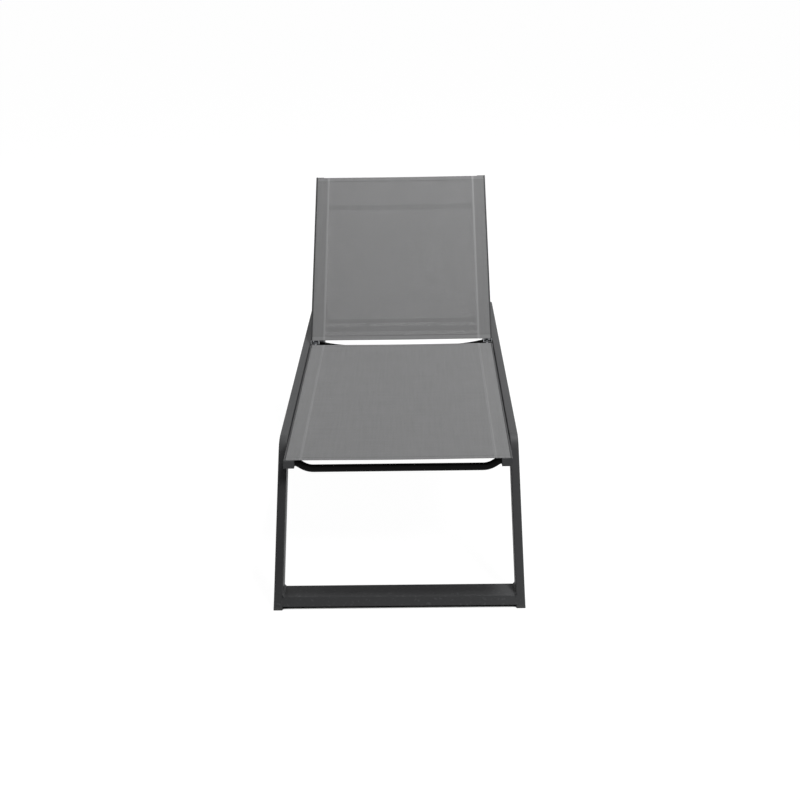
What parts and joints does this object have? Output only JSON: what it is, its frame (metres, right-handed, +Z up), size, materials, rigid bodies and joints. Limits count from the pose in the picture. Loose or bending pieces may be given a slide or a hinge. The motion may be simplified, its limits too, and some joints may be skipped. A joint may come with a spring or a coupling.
{
  "type": "chaise lounge",
  "caption": "Low sun lounger with two bent rectangular tube side frames, grey mesh slings and a reclining back on a propping stay.",
  "frame": {"origin": "on the floor under the centre of the footprint", "axes": "+Y along the lounge towards the head end, +X towards the right-hand side as seen from the foot end, +Z up"},
  "size_m": [0.7, 2.096, 0.8571],
  "materials": {
    "frame_coat": "matte",
    "tube_coat": "matte",
    "prop_coat": "matte",
    "mill_aluminium": "satin",
    "glide_black": "matte",
    "cap_grey": "matte",
    "mesh_grey": "matte",
    "rod_plastic": "satin",
    "stainless": "satin",
    "nylon": "satin",
    "buffer_rubber": "matte",
    "tag_fabric": "matte"
  },
  "bodies": {
    "frame": {"side_frame_left": "frame_coat", "side_frame_right": "frame_coat", "front_floor_bar": "frame_coat", "rear_floor_bar": "frame_coat", "glide_front_left": "glide_black", "glide_front_right": "glide_black", "glide_rear_left": "glide_black", "glide_rear_right": "glide_black", "seat_rail_left": "frame_coat", "seat_rail_right": "frame_coat", "seat_end_cap_left": "cap_grey", "seat_end_cap_right": "cap_grey", "seat_edge_rods": "rod_plastic", "seat_sling": "mesh_grey", "front_spreader": "tube_coat", "cross_tie": "tube_coat", "seat_rail_bolts": "stainless", "seat_rail_spacers": "rod_plastic", "rivet_nuts": "stainless", "seat_tongue_left": "mill_aluminium", "seat_tongue_right": "mill_aluminium", "seat_tongue_screws": "stainless", "hinge_pin_left": "stainless", "hinge_pin_right": "stainless", "hinge_washers": "nylon", "hinge_nuts": "stainless", "rack_left": "frame_coat", "rack_right": "frame_coat", "rack_bolts": "stainless", "flat_buffer_left": "buffer_rubber", "flat_buffer_right": "buffer_rubber"},
    "backrest": {"back_rail_left": "frame_coat", "back_rail_right": "frame_coat", "back_end_cap_left": "cap_grey", "back_end_cap_right": "cap_grey", "back_edge_rods": "rod_plastic", "back_sling": "mesh_grey", "back_top_bar": "prop_coat", "back_lower_bar": "prop_coat", "back_tongue_left": "mill_aluminium", "back_tongue_right": "mill_aluminium", "back_tongue_screws": "stainless", "sewn_tag": "tag_fabric", "prop_tab_left": "frame_coat", "prop_tab_right": "frame_coat"},
    "prop": {"prop_arm_left": "prop_coat", "prop_arm_right": "prop_coat", "prop_rod": "prop_coat", "prop_rod_plugs": "rod_plastic", "prop_pivot_bolts": "stainless", "prop_pivot_washers": "nylon"}
  },
  "joints": [
    {"name": "recline", "type": "hinge", "parent": "frame", "child": "backrest", "pos_m": [0, 0.1805, 0.3545], "axis": [1, 0, 0], "range_deg": [-40.2, 20.8]},
    {"name": "prop_fold", "type": "hinge", "parent": "backrest", "child": "prop", "pos_m": [0, 0.37199, 0.50411], "axis": [1, 0, 0], "range_deg": [-42, 81]}
  ],
  "couplings": [
    {"joint": "prop_fold", "follows": "recline", "ratio": -2}
  ]
}
